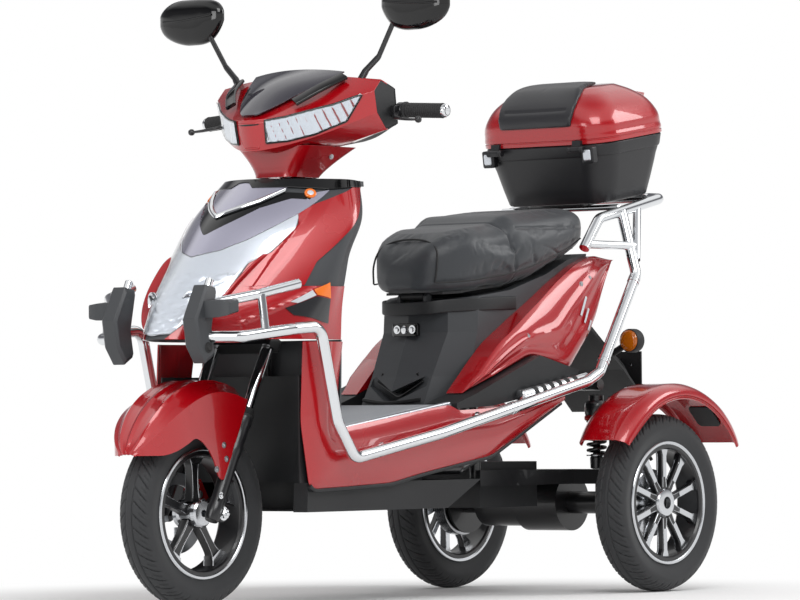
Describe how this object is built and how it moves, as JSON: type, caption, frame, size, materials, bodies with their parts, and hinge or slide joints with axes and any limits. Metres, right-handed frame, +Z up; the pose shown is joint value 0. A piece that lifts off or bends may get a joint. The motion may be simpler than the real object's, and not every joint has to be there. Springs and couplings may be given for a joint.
{
  "type": "electric three-wheel scooter",
  "caption": "Electric leisure tricycle with a steered front wheel, driven rear axle, step-through floor, two-step saddle, chrome guard bars and a lockable top case.",
  "frame": {"origin": "on the ground under the middle of the overall length, on the middle plane", "axes": "+X forward, +Y to the rider's left, +Z up"},
  "size_m": [1.774, 0.836, 1.3559],
  "materials": {
    "tyre": "matt tread rubber",
    "alloy": "black painted casting with machined faces",
    "disc_steel": "ground",
    "chrome": "polished",
    "frame_black": "satin powder coat",
    "caliper_red": "gloss",
    "body_red": "metallic lacquer",
    "body_black": "gloss",
    "dark_panel": "satin moulded",
    "floor_grey": "ribbed mat",
    "liner_black": "moulded",
    "lens_clear": "clear moulded lens",
    "smoked": "smoked",
    "lens_red": "clear red lens",
    "lens_amber": "clear amber lens",
    "rubber": "ribbed",
    "lever_black": "satin",
    "saddle_cover": "grained synthetic leather",
    "pan_black": "moulded"
  },
  "bodies": {
    "root": {"battery_pack": "liner_black", "belly_pan": "liner_black", "bumper_horns": "liner_black", "case_base": "dark_panel", "controller_box": "liner_black", "floorboard": "floor_grey", "foot_panels": "dark_panel", "footrests": "chrome", "frame": "frame_black", "front_lens": "lens_clear", "guard_bar_left": "chrome", "guard_bar_right": "chrome", "indicators": "lens_amber", "knee_panel": "dark_panel", "leg_shield": "body_red", "nose_bars": "chrome", "nose_panel": "body_black", "rear_axle": "frame_black", "rear_fenders": "body_red", "rear_mudguard": "liner_black", "rear_rack": "chrome", "seat_base": "dark_panel", "shield_cap": "body_black", "shock_absorbers": "frame_black", "sill_panels": "body_red", "swing_arm": "frame_black", "tail_lamps": "lens_red", "tail_panels": "body_red", "wheel_liner": "liner_black"},
    "steering": {"fork_yoke": "frame_black", "fork_stanchions": "chrome", "fork_sliders": "frame_black", "brake_caliper": "caliper_red", "front_fender": "body_red", "handlebar": "chrome", "head_cover": "body_red", "head_lamps": "lens_clear", "head_grille": "dark_panel", "dash_panel": "dark_panel", "windscreen": "smoked", "neck_cover": "body_red", "grips": "rubber", "bar_ends": "chrome", "brake_levers": "lever_black", "mirrors": "body_black"},
    "front_wheel": {"front_tyre": "tyre", "front_rim": "alloy", "front_disc": "disc_steel"},
    "rear_left_wheel": {"rear_left_tyre": "tyre", "rear_left_rim": "alloy"},
    "rear_right_wheel": {"rear_right_tyre": "tyre", "rear_right_rim": "alloy"},
    "saddle": {"saddle_cushion": "saddle_cover", "saddle_pan": "pan_black"},
    "top_case_lid": {"case_lid": "body_red", "backrest_pad": "saddle_cover"}
  },
  "joints": [
    {"name": "steering", "type": "hinge", "parent": "root", "child": "steering", "pos_m": [0.42879, 0, 0.7], "axis": [-0.454, 0, 0.891], "range_deg": [-38, 38]},
    {"name": "front_wheel_spin", "type": "hinge", "parent": "steering", "child": "front_wheel", "pos_m": [0.675, 0, 0.205], "axis": [0, 1, 0], "continuous": true},
    {"name": "rear_left_spin", "type": "hinge", "parent": "root", "child": "rear_left_wheel", "pos_m": [-0.599, 0.3075, 0.205], "axis": [0, 1, 0], "continuous": true},
    {"name": "rear_right_spin", "type": "hinge", "parent": "root", "child": "rear_right_wheel", "pos_m": [-0.599, -0.3075, 0.205], "axis": [0, 1, 0], "continuous": true},
    {"name": "saddle_hinge", "type": "hinge", "parent": "root", "child": "saddle", "pos_m": [-0.094, 0, 0.682], "axis": [0, 1, 0], "range_deg": [0, 60]},
    {"name": "case_lid_hinge", "type": "hinge", "parent": "root", "child": "top_case_lid", "pos_m": [-0.55047, 0, 1.02888], "axis": [0, 1, 0], "range_deg": [0, 80]}
  ]
}
